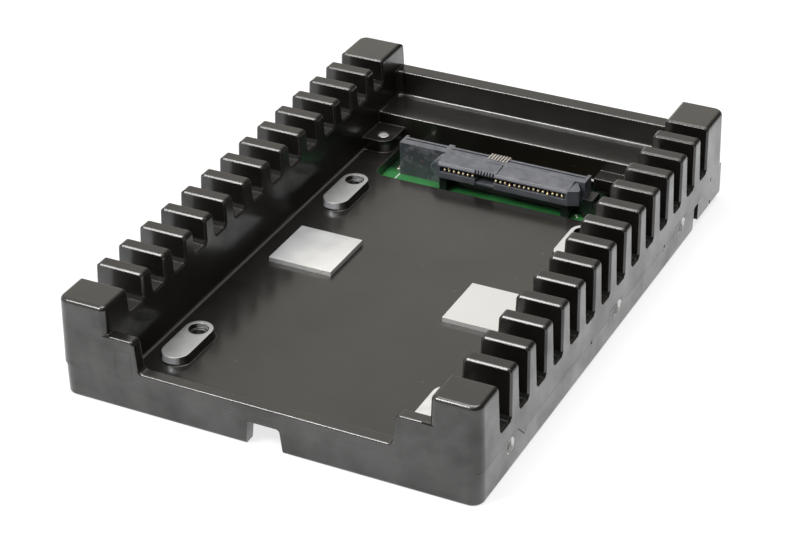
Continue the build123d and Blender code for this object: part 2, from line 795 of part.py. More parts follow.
# Housing of the rear plug: a body on the board with the contact tongue and two guide arms
tongue_top = tongue_bottom + tongue_thickness
plug_left = plug_centre - plug_half_width
plug_right = plug_centre + plug_half_width
plug_signal = signal_row(plug_centre)
plug_power = power_row(plug_centre)
with BuildPart() as plug_housing:
    box_between((plug_left, plug_right), (plug_front, plug_body_back), (board_top, plug_top))
    tongue_x = (plug_centre - tongue_half_width, plug_centre + tongue_half_width)
    box_between(tongue_x, (plug_body_back - 0.1, tongue_back), (tongue_bottom, tongue_top))
    tongue_tip = plug_housing.edges().filter_by(Axis.X).group_by(Axis.Y)[-1]
    chamfer(tongue_tip, tongue_chamfer)
    # Step down at the outer end of the tongue that keys each segment
    tongue_key_y = (plug_body_back - 0.1, tongue_back - tongue_chamfer)
    for x in (tongue_x[0], tongue_x[1] - tongue_key_width):
        box_between((x, x + tongue_key_width), tongue_key_y, (tongue_key_bottom, tongue_top))
    # Guide arms that the mating connector slides between
    for x in (plug_left, plug_right - plug_arm_width):
        box_between((x, x + plug_arm_width), (plug_body_back - 0.1, tongue_back), (board_top, plug_top - 1))
    # Holes for the contacts
    for x in plug_signal + plug_power:
        half = plug_contact_width / 2 + contact_hole_clearance
        contact_top = tongue_top + plug_contact_thickness
        hole_z = (tongue_top - contact_hole_clearance, contact_top + contact_hole_clearance)
        box_between((x - half, x + half), (plug_front - 1, plug_body_back + 0.1), hole_z, Mode.SUBTRACT)
plug_housing.part.label = "plug_housing"
export_step(plug_housing.part, "parts/plug_housing.step")


def make_plug_contact(x, width, level):
    """One contact: a flat strip along the tongue, a stem through the body and a leg to the board."""
    half = width / 2
    leg = plug_front - contact_leg_gap
    top = level + plug_contact_thickness
    with BuildPart() as contact:
        box_between((x - half, x + half), (leg - contact_leg, plug_contact_end), (level, top))
        leg_z = (board_top, top)
        box_between((x - half, x + half), (leg - contact_leg, leg), leg_z)
        foot_y = (leg - contact_leg - contact_foot_length / 2, leg)
        box_between((x - half, x + half), foot_y, (board_top, board_top + contact_foot_thickness))
    return contact.part


with BuildPart() as plug_signal_contacts:
    for place in plug_signal:
        add(make_plug_contact(place, plug_contact_width, tongue_top))
plug_signal_contacts.part.label = "plug_signal_contacts"
export_step(plug_signal_contacts.part, "parts/plug_signal_contacts.step")

with BuildPart() as plug_power_contacts:
    for place in plug_power:
        add(make_plug_contact(place, plug_contact_width, tongue_top))
plug_power_contacts.part.label = "plug_power_contacts"
export_step(plug_power_contacts.part, "parts/plug_power_contacts.step")

# Metal locks that hold the ends of the plug to the board
with BuildPart() as plug_board_locks:
    for edge, outward in ((plug_left, -1), (plug_right, 1)):
        lock_y = (plug_body_back - lock_width - 0.6, plug_body_back - 0.6)
        upright_x = sorted((edge + outward * lock_gap, edge + outward * (lock_gap + lock_thickness)))
        box_between(upright_x, lock_y, (board_top, board_top + lock_height))
plug_board_locks.part.label = "plug_board_locks"
export_step(plug_board_locks.part, "parts/plug_board_locks.step")


# Plastic carrier over the plug, whose outer end closes the corner of the frame
with BuildPart() as connector_carrier:
    with BuildSketch(Plane.YZ.offset(carrier_foot_inner)):
        Polygon(
            (carrier_front, carrier_bottom),
            (carrier_front, carrier_low_top),
            (carrier_step_1, carrier_low_top),
            (carrier_step_2, carrier_mid_top),
            (carrier_step_3, carrier_mid_top),
            (carrier_step_3, carrier_top),
            (carrier_back, carrier_top),
            (carrier_back, carrier_bottom),
            align=None,
        )
    extrude(amount=carrier_outer - carrier_foot_inner)
    outline = connector_carrier.edges().filter_by(Axis.X)
    fillet(outline, carrier_edge_radius)
    # Roof and inner wall round the plug
    inner_x = (carrier_left, carrier_foot_inner + 0.1)
    above_plug = plug_top + carrier_clearance
    box_between(inner_x, (carrier_step_3, carrier_back), (above_plug, carrier_top))
    above_board = board_top + underside_clearance
    wall_x = (carrier_left, carrier_left + carrier_wall)
    box_between(wall_x, (carrier_step_3, carrier_back), (above_board, carrier_top))
    # Lug that reaches forward over the board
    lug_x = (carrier_lug_left, carrier_foot_inner + 0.1)
    box_between(lug_x, (carrier_front, carrier_step_1), (above_board, carrier_low_top - carrier_edge_radius))
    # Notches in the outer face
    notch_x = (carrier_outer - carrier_notch_depth, carrier_outer + 1)
    notch_y = (carrier_notch_front, carrier_notch_back)
    box_between(notch_x, notch_y, (0, carrier_notch_low), Mode.SUBTRACT)
    box_between(notch_x, notch_y, (carrier_notch_high, carrier_top - 0.6), Mode.SUBTRACT)
connector_carrier.part.label = "connector_carrier"
export_step(connector_carrier.part, "parts/connector_carrier.step")


# Heat pads between the floor and the drive
with BuildPart() as thermal_pad_left:
    with BuildSketch(Plane.XY.offset(floor_top)):
        with Locations((bay_centre - pad_centre_x, left_pad_centre_y)):
            Rectangle(pad_width, pad_length)
    extrude(amount=pad_thickness)
thermal_pad_left.part.label = "thermal_pad_left"
export_step(thermal_pad_left.part, "parts/thermal_pad_left.step")

with BuildPart() as thermal_pad_right:
    with BuildSketch(Plane.XY.offset(floor_top)):
        with Locations((bay_centre + pad_centre_x, right_pad_centre_y)):
            Rectangle(pad_width, pad_length)
    extrude(amount=pad_thickness)
thermal_pad_right.part.label = "thermal_pad_right"
export_step(thermal_pad_right.part, "parts/thermal_pad_right.step")
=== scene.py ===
import math
from collections import namedtuple

import bpy
from mathutils import Matrix, Vector


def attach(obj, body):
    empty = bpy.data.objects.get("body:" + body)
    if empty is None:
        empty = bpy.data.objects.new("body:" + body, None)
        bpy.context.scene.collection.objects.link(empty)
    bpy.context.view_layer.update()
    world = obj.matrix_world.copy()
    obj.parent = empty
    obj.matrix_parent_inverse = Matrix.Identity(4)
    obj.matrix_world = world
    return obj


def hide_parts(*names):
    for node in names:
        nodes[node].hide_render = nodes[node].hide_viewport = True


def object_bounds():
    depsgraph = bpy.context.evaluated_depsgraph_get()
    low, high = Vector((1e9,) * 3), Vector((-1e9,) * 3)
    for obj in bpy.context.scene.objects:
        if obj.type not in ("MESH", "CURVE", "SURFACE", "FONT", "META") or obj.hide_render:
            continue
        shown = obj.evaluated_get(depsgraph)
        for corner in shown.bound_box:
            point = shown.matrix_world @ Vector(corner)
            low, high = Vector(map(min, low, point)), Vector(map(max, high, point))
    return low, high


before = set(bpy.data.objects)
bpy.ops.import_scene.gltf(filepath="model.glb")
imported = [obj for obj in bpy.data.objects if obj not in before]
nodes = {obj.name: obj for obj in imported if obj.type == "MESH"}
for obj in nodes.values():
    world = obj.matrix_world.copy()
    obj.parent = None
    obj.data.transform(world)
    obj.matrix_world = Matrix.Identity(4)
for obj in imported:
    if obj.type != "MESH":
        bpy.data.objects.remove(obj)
cad_low, cad_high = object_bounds()
scene = bpy.context.scene

MM = 0.001

# Camera: angles in degrees, lens and sensor in millimetres
CAMERA_AZIMUTH = 26.7098
CAMERA_ELEVATION = 31.0066
CAMERA_ROLL = -0.7936
CAMERA_DISTANCE = 539.478 * MM
CAMERA_TARGET = Vector((2.5644, -12.1793, 13.0)) * MM
CAMERA_LENS = 105.527
SENSOR_WIDTH = 36.0
CLIP_START = 0.01
CLIP_END = 20.0

# Soft boxes: name, azimuth, elevation, distance, width, height and power
LIGHTS = (
    ("overhead", 0.0, 84.0, 1.0, 0.70, 0.70, 7.5),
    ("front_left_high", 216.0, 50.0, 1.0, 0.30, 0.30, 6.5),
    ("front_right_high", 152.0, 56.0, 1.0, 0.30, 0.30, 0.4),
)

# Surroundings: lighter on the left than on the right where the paint mirrors them
WHITE = (1.0, 1.0, 1.0)
WORLD_TINT = (1.0, 0.955, 0.88)
WORLD_LIGHT = 0.30
WORLD_LEFT = 0.68
WORLD_RIGHT = 0.08
WORLD_FADE = 0.3

# Floor: its glow falls off behind the front edge and comes back far from the object
FLOOR_SIZE = 6.0
FLOOR_TONE = (0.80, 0.80, 0.80)
FLOOR_ROUGH = 0.9
FLOOR_SHADE = (0.30, 0.30, 0.30)
FLOOR_GLOW = 0.76
FLOOR_GLOW_FRONT = 1.0
FLOOR_FADE = (-0.10, -0.07)
FLOOR_FAR = (0.25, 0.60)

# Black paint of the casting
PAINT_DARK = (0.0050, 0.0043, 0.0034)
PAINT_LIGHT = (0.0095, 0.0080, 0.0062)
PAINT_SPECK = (0.085, 0.060, 0.050)
# Light grey at the edges: partly wear, partly painted highlight
PAINT_WORN_AND_HIGHLIGHT = (0.21, 0.195, 0.18)
# Darkest paint: the die's lines and the chips, and painted shade at the foot of the slots
PAINT_DULL_AND_SHADE = (0.004, 0.0035, 0.003)
# Painted highlight along the foot of the left wall
FOOT_HIGHLIGHT = (0.085, 0.080, 0.074)
PAINT_ROUGH = 0.34
PAINT_IOR = 1.5
PAINT_SPECULAR = 0.30
DULL_ROUGH = 0.42
COAT_ROUGH = 0.17
COAT_IOR = 1.60
COAT_LOW = 0.50
HANDLED = 0.36
PAINT_BEVEL = 0.32 * MM
PAINT_GRAIN = 0.04 * MM
EDGE_RADIUS = 0.22 * MM
# Share of the light grey at the edges, partly wear and partly painted highlight
EDGE_WEAR_AND_HIGHLIGHT = 0.55

# Cut aluminium of the bosses and holes, with painted shade on the left bosses and a painted highlight on
# their front flanks
METAL_BRIGHT = ((0.66, 0.65, 0.64), (0.82, 0.81, 0.80))
METAL_SHADED = ((0.24, 0.24, 0.235), (0.34, 0.34, 0.33))
METAL_LIT = (0.54, 0.54, 0.53)
METAL_LIT_SPAN = (-2.6 * MM, 4.2 * MM)
FLANK_HIGHLIGHT = (0.80, 0.80, 0.82)
FLANK_HIGHLIGHT_SHARE = 0.8
BARE_METAL = 0.55

# Plastic of the connectors, the dust on it, and its painted highlight and painted shade
PLASTIC = ((0.062, 0.066, 0.080), (0.100, 0.104, 0.120))
PLASTIC_FILM = (0.24, 0.24, 0.25)
PLASTIC_RIM_HIGHLIGHT = (0.30, 0.31, 0.34)
PLASTIC_SHADE = (0.006, 0.006, 0.007)
PLATE_TONE = (0.030, 0.034, 0.040)
PLATE_DUST = (0.22, 0.23, 0.25)
PLATE_GRIT = (0.20, 0.10, 0.07)
FILM_SHARE = 0.32
RIM_HIGHLIGHT_SHARE = 0.55
PLATE_SHARE = 0.6
DUST_SHARE = 0.45
PLASTIC_RIM_RADIUS = 0.16 * MM
PLASTIC_BEVEL = 0.18 * MM
PLATE_XS = (-26.0 * MM, -13.2 * MM)
PLATE_REAR = 44.6 * MM
SHELTER_XS = (-12.9 * MM, 25.4 * MM)
SHELTER_TOP = 6.7 * MM
SHELTER_END = 25.25 * MM

# Lacquer of the board, and its painted shade
LACQUER = ((0.026, 0.165, 0.042), (0.036, 0.215, 0.056))
LACQUER_SHADE = (0.003, 0.020, 0.006)
LACQUER_SHADE_YS = (44.0 * MM, 47.0 * MM)

# Foil of the heat pads, with a painted reflection on each
FOIL_LEFT_REFLECTION = ((0.42, 0.425, 0.44), (0.90, 0.90, 0.87))
FOIL_RIGHT_REFLECTION = (0.71, 0.705, 0.69)
FOIL_METAL = 0.45
FOIL_SLANT = -0.55
FOIL_SPAN = (-31.0 * MM, -12.0 * MM)
FOIL_CLOUD = 0.22
FOIL_MIDDLE = 2.0 * MM
FOIL_BEVEL = 0.08 * MM

# Depth of a fine grain, and the small bevel of plain metal and plastic
GRAIN = 0.03 * MM
SMALL_BEVEL = 0.05 * MM

# What counts as turned at an edge, as flat, and as facing one way
EDGE_TURNED = 0.88
EDGE_FLAT = 0.985
FACING = 0.9

# Just inside the outer faces, from the box of the solids
SIDE_FACE = cad_high[0] - 1.3 * MM
FRONT_FACE = cad_low[1] + 1.0 * MM

# Oval bosses with their machined tops
BAY_CENTRE = 0.45 * MM
PAD_X = 30.86 * MM
PAD_YS = (28.75 * MM, -47.85 * MM)
PAD_SHIFT = 4.8 * MM
PAD_REACH_X = 5.0 * MM
PAD_REACH_Y = 10.0 * MM
PAD_TOP = 7.8 * MM
PAD_SKIN = 0.06 * MM
PAD_FLANK = (PAD_TOP - 1.5 * MM, PAD_TOP + 0.1 * MM)

# Tapped holes in the sides: the rear one, the middle one and the front one
SIDE_HOLE_YS = (44.15 * MM, 2.54 * MM, -57.45 * MM)
SIDE_HOLE_Z = 6.35 * MM
HOLE_MOUTH = 2.25 * MM
HOLE_END = 43.0 * MM

# Line where the die halves meet, lower for a stretch at the front side hole
PARTING_FRONT = 8.0 * MM
PARTING_SIDE = 8.5 * MM
PARTING_JOG = (-53.9 * MM, -50.3 * MM, -48.4 * MM)
PARTING_DROP = 3.5 * MM
PARTING_RISE = 1.6 * MM
PARTING_REACH = 0.16 * MM

# Outlines left by the die on the left ledge's front and on the flats beside the holes
SCRIBE_REACH = 0.14 * MM
IMPRINT_XS = (-36.3 * MM, -32.2 * MM)
IMPRINT_TOP = 15.3 * MM
IMPRINT_SHARE = 0.5
FLAT_YS = (-5.0 * MM, 3.2 * MM)
FLAT_ZS = (4.6 * MM, 8.15 * MM)
FLAT_INNER = -2.8 * MM
FLAT_INNER_ZS = (3.7 * MM, 7.0 * MM)

# Chips in the paint of the right side
CHIPS = ((32.0 * MM, 6.6 * MM), (-12.9 * MM, 5.8 * MM))
CHIP_REACH = 0.9 * MM
CHIP_SQUEEZE = 2.2
CORE_REACH = 0.22 * MM
CORE_ALONG = 0.1 * MM
CORE_DOWN = 0.5 * MM

# Slots, fins and walls of the frame
SLOT_INNER = 37.4 * MM
SLOT_FOOT_ZS = (12.5 * MM, 19.35 * MM)
FIN_INNER = 38.0 * MM
FIN_END = 60.0 * MM
FIN_LOW = 20.0 * MM
REAR_WALL = 67.0 * MM
REAR_WALL_END = 37.0 * MM
# Heights of the painted highlight at the foot of the left wall
FOOT_HIGHLIGHT_ZS = (5.7 * MM, 8.0 * MM)

# Contacts of the receptacle
SIGNAL_COUNT = 7
POWER_COUNT = 15
LONG_CONTACTS = (3, 11)
CONTACT_PITCH = 1.27 * MM
SEGMENT_GAP = 6.35 * MM
RECEPTACLE_CENTRE = 5.2 * MM
TIP_RADII = (0.31 * MM, 0.32 * MM, 0.31 * MM)
TIP_PLACE = (39.80 * MM, 9.72 * MM)
LONG_TIP_PLACE = (39.62 * MM, 9.44 * MM)

# Tails of the second port
TAIL_COUNT = 7
TAIL_CENTRE = 1.12 * MM
TAIL_PITCH = 0.8 * MM
TAIL_WIDTH = 0.40 * MM
TAIL_THICKNESS = 0.20 * MM
TAIL_FRONT = 45.50 * MM
TAIL_MIDDLE = 46.80 * MM
TAIL_BEND_Y = 48.10 * MM
TAIL_BEND_Z = 11.80 * MM
TAIL_BEND_RADIUS = 0.45 * MM
TAIL_BEND_ANGLES = (0.0, 0.5, 1.0, math.pi / 2)
TAIL_FOOT = 10.3 * MM

# Thread in the side holes
THREAD_PITCH = 0.794 * MM
THREAD_TURNS = 6
THREAD_STEPS = 20
THREAD_MOUTH = 49.6 * MM
THREAD_HALF_WIDTH = 0.34 * MM
THREAD_ROOT = 1.46 * MM
THREAD_CREST = 1.20 * MM

# Print and solder on the board, each spot by its place and reach
BOARD_TOP = 3.0 * MM
SIDE_PRINT_X = -25.45 * MM
SIDE_PRINT_YS = (41.1 * MM, 42.6 * MM, 44.2 * MM)
SIDE_PRINT_Z = BOARD_TOP + 0.02 * MM
SIDE_PRINT_WIDTH = 0.28 * MM
SIDE_PRINT_THICKNESS = 0.03 * MM
FRONT_PRINT_X = -9.0 * MM
FRONT_PRINT_YS = (36.95 * MM, 37.12 * MM)
FRONT_PRINT_Z = BOARD_TOP + 0.015 * MM
FRONT_PRINT_WIDTH = 33.0 * MM
FRONT_PRINT_THICKNESS = 0.02 * MM
SOLDER_SPOTS = (
    (-13.3 * MM, 42.9 * MM, 0.55 * MM),
    (-12.9 * MM, 40.6 * MM, 0.35 * MM),
    (23.4 * MM, 43.3 * MM, 0.55 * MM),
    (24.1 * MM, 42.6 * MM, 0.35 * MM),
    (-25.9 * MM, 46.4 * MM, 0.50 * MM),
)
SOLDER_NARROW = 0.8
SOLDER_HEIGHT = 0.28 * MM

# Left wing of the receptacle, which comes to a point between its top and its base
WING_ROOT = -12.60 * MM
WING_LENGTH = 2.55 * MM
WING_END = -15.3 * MM
WING_REAR = 44.2 * MM
WING_TOP_FROM = 11.0 * MM
WING_TOP = 10.9 * MM
WING_FALL = 1.2 * MM
WING_BASE_ZS = (7.2 * MM, 7.5 * MM)
WING_BASE = 7.35 * MM
WING_RISE = 0.85 * MM

# Steps around a bead and from its foot to its top
BEAD_AROUND = 12
BEAD_UP = 8


# Camera
def place_camera():
    data = bpy.data.cameras.new("camera")
    camera = bpy.data.objects.new("camera", data)
    scene.collection.objects.link(camera)
    azimuth = math.radians(CAMERA_AZIMUTH)
    elevation = math.radians(CAMERA_ELEVATION)
    roll = math.radians(CAMERA_ROLL)
    back = Vector(
        (
            math.sin(azimuth) * math.cos(elevation),
            -math.cos(azimuth) * math.cos(elevation),
            math.sin(elevation),
        )
    )
    level = Vector((math.cos(azimuth), math.sin(azimuth), 0.0))
    up = back.cross(level)
    right = level * math.cos(roll) + up * math.sin(roll)
    top = up * math.cos(roll) - level * math.sin(roll)
    turn = Matrix((right, top, back)).transposed()
    camera.matrix_world = Matrix.Translation(CAMERA_TARGET + back * CAMERA_DISTANCE) @ turn.to_4x4()
    data.lens = CAMERA_LENS
    data.sensor_width = SENSOR_WIDTH
    data.clip_start = CLIP_START
    data.clip_end = CLIP_END
    scene.camera = camera


# Short forms for shader nodes
Axes = namedtuple("Axes", "x y z")


def new_material(name):
    material = bpy.data.materials.new(name)
    material.use_nodes = True
    tree = material.node_tree
    return material, tree, tree.nodes["Principled BSDF"]


def add(tree, kind, **values):
    node = tree.nodes.new(kind)
    for name, value in values.items():
        setattr(node, name, value)
    return node


def opaque(colour):
    return (*colour, 1.0)


def maths(tree, operation, *values):
    node = add(tree, "ShaderNodeMath", operation=operation)
    for socket, value in zip(node.inputs, values):
        if isinstance(value, (int, float)):
            socket.default_value = value
        else:
            tree.links.new(value, socket)
    return node.outputs[0]


def product(tree, *values):
    result = values[0]
    for value in values[1:]:
        result = maths(tree, "MULTIPLY", result, value)
    return result


def largest(tree, *values):
    result = values[0]
    for value in values[1:]:
        result = maths(tree, "MAXIMUM", result, value)
    return result


def rest_of(tree, value):
    """One less the value."""
    return maths(tree, "SUBTRACT", 1.0, value)


def magnitude(tree, value):
    return maths(tree, "ABSOLUTE", value)


def above(tree, value, limit):
    return maths(tree, "GREATER_THAN", value, limit)


def below(tree, value, limit):
    return maths(tree, "LESS_THAN", value, limit)


def between(tree, value, low, high):
    return product(tree, above(tree, value, low), below(tree, value, high))


def away(tree, value, centre):
    """How far the value is from the centre, on either side."""
    return magnitude(tree, maths(tree, "SUBTRACT", value, centre))


def off_axis(tree, first, first_centre, second, second_centre):
    """Distance from a line that stands at the given centre in two coordinates."""
    across = maths(tree, "SUBTRACT", first, first_centre)
    along = maths(tree, "SUBTRACT", second, second_centre)
    total = maths(tree, "MULTIPLY_ADD", across, across, maths(tree, "MULTIPLY", along, along))
    return maths(tree, "SQRT", total)


def spread(tree, value, low, high, out_low=0.0, out_high=1.0):
    """Carries the range from low to high over to out_low to out_high, level outside it."""
    node = add(tree, "ShaderNodeMapRange", clamp=True)
    node.inputs["From Min"].default_value = low
    node.inputs["From Max"].default_value = high
    node.inputs["To Min"].default_value = out_low
    node.inputs["To Max"].default_value = out_high
    tree.links.new(value, node.inputs["Value"])
    return node.outputs[0]


def near(tree, value, centre, reach):
    """One at the centre, falling to nought at the given reach on both sides."""
    return spread(tree, away(tree, value, centre), 0.0, reach, 1.0, 0.0)


def noise(tree, where, scale, detail=3.0, roughness=0.5):
    node = add(tree, "ShaderNodeTexNoise")
    node.inputs["Scale"].default_value = scale
    node.inputs["Detail"].default_value = detail
    node.inputs["Roughness"].default_value = roughness
    tree.links.new(where, node.inputs["Vector"])
    return node.outputs[0]


def mix(tree, factor, first, second):
    node = add(tree, "ShaderNodeMix", data_type="RGBA")
    for socket, value in ((node.inputs[0], factor), (node.inputs[6], first), (node.inputs[7], second)):
        if isinstance(value, (int, float)):
            socket.default_value = value
        elif isinstance(value, tuple):
            socket.default_value = opaque(value)
        else:
            tree.links.new(value, socket)
    return node.outputs[2]


def position(tree):
    return add(tree, "ShaderNodeTexCoord").outputs["Object"]


def split(tree, vector):
    """The x, y and z of a vector."""
    node = add(tree, "ShaderNodeSeparateXYZ")
    tree.links.new(vector, node.inputs[0])
    return Axes(*node.outputs)


def surface_facing(tree, kind="Normal"):
    """Which way the surface faces, along each axis."""
    return split(tree, add(tree, "ShaderNodeNewGeometry").outputs[kind])


def bump(tree, shader, height, strength, depth=GRAIN, bevel=SMALL_BEVEL):
    soft = add(tree, "ShaderNodeBevel", samples=8)
    soft.inputs["Radius"].default_value = bevel
    node = add(tree, "ShaderNodeBump")
    node.inputs["Strength"].default_value = strength
    node.inputs["Distance"].default_value = depth
    tree.links.new(height, node.inputs["Height"])
    tree.links.new(soft.outputs["Normal"], node.inputs["Normal"])
    tree.links.new(node.outputs["Normal"], shader.inputs["Normal"])
    tree.links.new(node.outputs["Normal"], shader.inputs["Coat Normal"])


def edge_mask(tree, radius):
    """One at an edge and nought away from it, from how far a softened normal turns there."""
    soft = add(tree, "ShaderNodeBevel", samples=4)
    soft.inputs["Radius"].default_value = radius
    geometry = add(tree, "ShaderNodeNewGeometry")
    dot = add(tree, "ShaderNodeVectorMath", operation="DOT_PRODUCT")
    tree.links.new(soft.outputs["Normal"], dot.inputs[0])
    tree.links.new(geometry.outputs["Normal"], dot.inputs[1])
    return spread(tree, dot.outputs["Value"], EDGE_FLAT, EDGE_TURNED)


# Black paint and the bare metal of the casting
def boss_mask(tree, at, facing):
    """One on the machined tops of the oval bosses, and a share of one on their front flanks as a painted
    highlight.
    """
    boxes = []
    for side in (-1, 1):
        for y in PAD_YS:
            off_x = away(tree, at.x, BAY_CENTRE + side * PAD_X)
            off_y = away(tree, at.y, y - PAD_SHIFT)
            boxes.append(product(tree, below(tree, off_x, PAD_REACH_X), below(tree, off_y, PAD_REACH_Y)))
    level = below(tree, away(tree, at.z, PAD_TOP), PAD_SKIN)
    crown = product(tree, level, above(tree, facing.z, FACING))
    ahead = spread(tree, facing.y, -0.92, -0.72, 1.0, 0.0)
    # Painted highlight on the front flanks of the bosses
    flank_highlight = product(tree, between(tree, at.z, *PAD_FLANK), FLANK_HIGHLIGHT_SHARE, ahead)
    return product(tree, largest(tree, *boxes), largest(tree, crown, flank_highlight))


def hole_mouth_mask(tree, at, facing):
    """One on the slopes in the mouths of the tapped holes."""
    mouths = []
    for y in SIDE_HOLE_YS:
        reach = off_axis(tree, at.y, y, at.z, SIDE_HOLE_Z)
        mouths.append(below(tree, reach, HOLE_MOUTH))
    outside = above(tree, magnitude(tree, at.x), HOLE_END)
    sloped = below(tree, magnitude(tree, facing.x), FACING)
    return product(tree, largest(tree, *mouths), outside, sloped)


def parting_line(tree, at, aside, ahead):
    """The line where the die halves meet, on the sides and on the front."""
    fall = spread(tree, at.y, PARTING_JOG[0], PARTING_JOG[1], 0.0, PARTING_DROP)
    rise = spread(tree, at.y, PARTING_JOG[1], PARTING_JOG[2], 0.0, PARTING_RISE)
    height = maths(tree, "ADD", maths(tree, "SUBTRACT", PARTING_SIDE, fall), rise)
    sides = product(tree, near(tree, at.z, height, PARTING_REACH), aside)
    front = product(tree, near(tree, at.z, PARTING_FRONT, SCRIBE_REACH), ahead, rest_of(tree, aside))
    return largest(tree, sides, front)


def imprint_outline(tree, at, ahead):
    """The faint outline on the front of the left ledge."""
    edges = largest(tree, *(near(tree, at.x, edge, SCRIBE_REACH) for edge in IMPRINT_XS))
    uprights = product(tree, edges, between(tree, at.z, PARTING_FRONT, IMPRINT_TOP))
    crown = product(tree, near(tree, at.z, IMPRINT_TOP, SCRIBE_REACH), between(tree, at.x, *IMPRINT_XS))
    return product(tree, largest(tree, uprights, crown), ahead, IMPRINT_SHARE)


def flat_outlines(tree, at, aside):
    """The outlines of the flats beside the rear and the middle side holes."""
    outlines = []
    for hole in SIDE_HOLE_YS[:2]:
        along = maths(tree, "SUBTRACT", at.y, hole)
        top = near(tree, at.z, FLAT_ZS[1], SCRIBE_REACH)
        edge = near(tree, along, FLAT_YS[0], SCRIBE_REACH)
        inner = near(tree, along, FLAT_INNER, SCRIBE_REACH)
        outlines.append(product(tree, top, between(tree, along, *FLAT_YS)))
        outlines.append(product(tree, edge, between(tree, at.z, *FLAT_ZS)))
        outlines.append(product(tree, inner, between(tree, at.z, *FLAT_INNER_ZS)))
    return product(tree, largest(tree, *outlines), aside)


def scribed_lines(tree, at):
    """All the fine lines that the die left on the outer faces."""
    aside = above(tree, magnitude(tree, at.x), SIDE_FACE)
    ahead = below(tree, at.y, FRONT_FACE)
    parting = parting_line(tree, at, aside, ahead)
    return largest(tree, parting, imprint_outline(tree, at, ahead), flat_outlines(tree, at, aside))


def chips(tree, at):
    """Two small chips in the paint of the right side, and the bright metal in each."""
    rings, cores = [], []
    for chip_y, chip_z in CHIPS:
        squeezed = product(tree, maths(tree, "SUBTRACT", at.y, chip_y), CHIP_SQUEEZE)
        ring = off_axis(tree, squeezed, 0.0, at.z, chip_z)
        core = off_axis(tree, at.y, chip_y + CORE_ALONG, at.z, chip_z - CORE_DOWN)
        rings.append(below(tree, ring, CHIP_REACH))
        cores.append(below(tree, core, CORE_REACH))
    right = above(tree, at.x, SIDE_FACE)
    dark = product(tree, largest(tree, *rings), right)
    bright = product(tree, largest(tree, *cores), right)
    return dark, bright


def slot_foot_shade_mask(tree, at):
    """One on the narrow slopes at the foot of the slots, which are darkened and lose their coat as painted
    shade.
    """
    facing = surface_facing(tree, "True Normal")
    tilted = between(tree, facing.z, 0.3, 0.95)
    lengthwise = above(tree, magnitude(tree, facing.y), 0.3)
    outer = above(tree, magnitude(tree, at.x), SLOT_INNER)
    return product(tree, tilted, lengthwise, outer, between(tree, at.z, *SLOT_FOOT_ZS))


def foot_highlight_mask(tree, at, facing):
    """One in the narrow round where the left wall meets the bay's floor, where a painted highlight makes a
    light line.
    """
    turned = near(tree, facing.x, 0.55, 0.35)
    return product(tree, turned, below(tree, at.x, 0.0), between(tree, at.z, *FOOT_HIGHLIGHT_ZS))


def handled_mask(tree, at, facing):
    """One on the tops of the fins and of the rear wall, which handling has dulled."""
    off_x = magnitude(tree, at.x)
    middle = below(tree, magnitude(tree, at.y), FIN_END)
    fins = product(tree, above(tree, off_x, FIN_INNER), middle, above(tree, at.z, FIN_LOW))
    wall = product(tree, below(tree, off_x, REAR_WALL_END), above(tree, at.y, REAR_WALL))
    return product(tree, largest(tree, fins, wall), above(tree, facing.z, 0.7))


def cut_metal(tree, where, at, facing):
    """Cut aluminium, with painted shade on the left bosses that lightens towards their right side and a
    painted highlight on their front flanks; the right bosses and the holes keep the brighter tone.
    """
    streak = spread(tree, noise(tree, where, scale=260.0, detail=6.0, roughness=0.7), 0.3, 0.7)
    lit = spread(tree, maths(tree, "ADD", at.x, PAD_X), *METAL_LIT_SPAN)
    left = mix(tree, lit, mix(tree, streak, *METAL_SHADED), METAL_LIT)
    left = mix(tree, below(tree, facing.y, -0.5), left, FLANK_HIGHLIGHT)
    return mix(tree, between(tree, at.x, -HOLE_END, 0.0), mix(tree, streak, *METAL_BRIGHT), left)


def paint_tone(tree, where):
    """Clouded black with a few specks, and light grey at the edges that is partly wear and partly painted
    highlight.
    """
    cloud = noise(tree, where, scale=55.0, detail=5.0, roughness=0.6)
    tone = mix(tree, spread(tree, cloud, 0.35, 0.65), PAINT_DARK, PAINT_LIGHT)
    speck = noise(tree, where, scale=1100.0, detail=1.0, roughness=0.4)
    tone = mix(tree, spread(tree, speck, 0.79, 0.83), tone, PAINT_SPECK)
    patchy = spread(tree, noise(tree, where, scale=140.0, detail=4.0), 0.35, 0.60, 0.35, 1.0)
    worn_and_highlight = product(tree, edge_mask(tree, EDGE_RADIUS), patchy, EDGE_WEAR_AND_HIGHLIGHT)
    return mix(tree, worn_and_highlight, tone, PAINT_WORN_AND_HIGHLIGHT)


def coat_weight(tree, where, at, facing, uncoated):
    """The clear coat's share, less where it is smeared on upright faces or dulled by handling."""
    smear = noise(tree, where, scale=75.0, detail=6.0, roughness=0.65)
    smear = spread(tree, smear, 0.36, 0.60, COAT_LOW, 1.0)
    upright = spread(tree, facing.z, 0.3, 0.8, 1.0, 0.15)
    clean = rest_of(tree, product(tree, rest_of(tree, smear), upright))
    unhandled = rest_of(tree, product(tree, handled_mask(tree, at, facing), HANDLED))
    return product(tree, rest_of(tree, uncoated), clean, unhandled)


